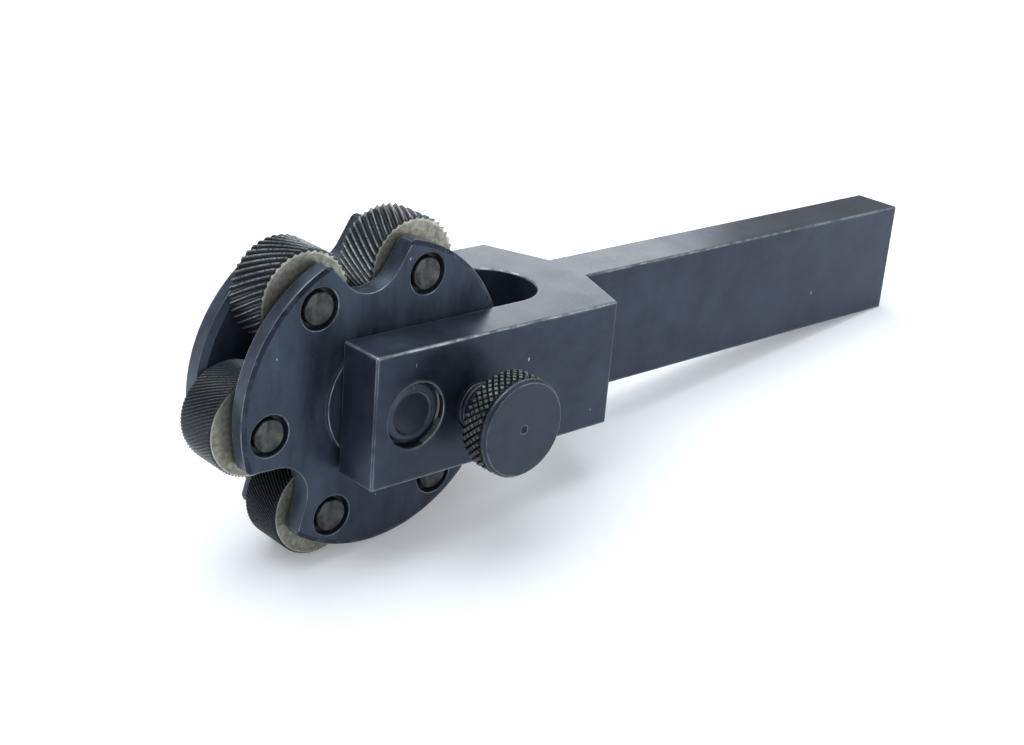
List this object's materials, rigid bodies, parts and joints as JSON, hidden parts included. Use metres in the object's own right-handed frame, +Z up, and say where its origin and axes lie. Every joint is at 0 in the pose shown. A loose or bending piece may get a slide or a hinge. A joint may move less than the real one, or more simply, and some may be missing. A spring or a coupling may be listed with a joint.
{
  "type": "knurling tool",
  "caption": "Lathe knurling tool: a rectangular shank ends in a fork whose revolving head carries paired knurls on pins, with a round knob on its locking screw.",
  "frame": {"origin": "middle of the shank's bottom face, which seats in the tool post", "axes": "+X along the shank towards its rear end, +Z up from the shank's bottom face, -Y on the lock screw's side"},
  "size_m": [0.1904, 0.0522, 0.0622],
  "materials": {
    "blued_holder_steel": "black oxide, satin, bright at worn edges",
    "blued_carrier_steel": "black oxide, satin, turned",
    "hardened_knurl_steel": "hardened tool steel, ground sides, dark teeth",
    "knurl_pin_steel": "hardened steel, dull",
    "pivot_pin_steel": "black oxide, turned end",
    "blued_screw_steel": "black oxide, turned and knurled"
  },
  "bodies": {
    "holder": {"holder": "blued_holder_steel", "pivot_pin": "pivot_pin_steel"},
    "head": {"knurl_carrier": "blued_carrier_steel", "coarse_right_knurl_pin": "knurl_pin_steel", "coarse_left_knurl_pin": "knurl_pin_steel", "fine_left_knurl_pin": "knurl_pin_steel", "fine_right_knurl_pin": "knurl_pin_steel", "medium_right_knurl_pin": "knurl_pin_steel", "medium_left_knurl_pin": "knurl_pin_steel"},
    "lock_stud": {"lock_stud": "blued_screw_steel"},
    "lock_knob": {"lock_knob": "blued_screw_steel"},
    "coarse_right_knurl": {"coarse_right_knurl": "hardened_knurl_steel"},
    "coarse_left_knurl": {"coarse_left_knurl": "hardened_knurl_steel"},
    "fine_left_knurl": {"fine_left_knurl": "hardened_knurl_steel"},
    "fine_right_knurl": {"fine_right_knurl": "hardened_knurl_steel"},
    "medium_right_knurl": {"medium_right_knurl": "hardened_knurl_steel"},
    "medium_left_knurl": {"medium_left_knurl": "hardened_knurl_steel"}
  },
  "joints": [
    {"name": "head_swivel", "type": "hinge", "parent": "holder", "child": "head", "pos_m": [-0.1056, 0, 0.0127], "axis": [0, 1, 0], "continuous": true},
    {"name": "lock_screw_travel", "type": "slide", "parent": "holder", "child": "lock_stud", "axis": [0, -1, 0], "range_m": [-0.00025, 0.006]},
    {"name": "lock_knob_turn", "type": "hinge", "parent": "lock_stud", "child": "lock_knob", "pos_m": [-0.0911, -0.029, 0.0114], "axis": [0, -1, 0], "range_deg": [-86, 2042]},
    {"name": "coarse_right_knurl_spin", "type": "hinge", "parent": "head", "child": "coarse_right_knurl", "pos_m": [-0.096, 0, 0.03426], "axis": [0, 1, 0], "continuous": true},
    {"name": "coarse_left_knurl_spin", "type": "hinge", "parent": "head", "child": "coarse_left_knurl", "pos_m": [-0.11947, 0, 0.03179], "axis": [0, 1, 0], "continuous": true},
    {"name": "fine_left_knurl_spin", "type": "hinge", "parent": "head", "child": "fine_left_knurl", "pos_m": [-0.12907, 0, 0.01023], "axis": [0, 1, 0], "continuous": true},
    {"name": "fine_right_knurl_spin", "type": "hinge", "parent": "head", "child": "fine_right_knurl", "pos_m": [-0.1152, 0, -0.00886], "axis": [0, 1, 0], "continuous": true},
    {"name": "medium_right_knurl_spin", "type": "hinge", "parent": "head", "child": "medium_right_knurl", "pos_m": [-0.09173, 0, -0.00639], "axis": [0, 1, 0], "continuous": true},
    {"name": "medium_left_knurl_spin", "type": "hinge", "parent": "head", "child": "medium_left_knurl", "pos_m": [-0.08213, 0, 0.01517], "axis": [0, 1, 0], "continuous": true}
  ],
  "couplings": [
    {"joint": "lock_knob_turn", "follows": "lock_screw_travel", "rad_per_m": 5936.9}
  ]
}
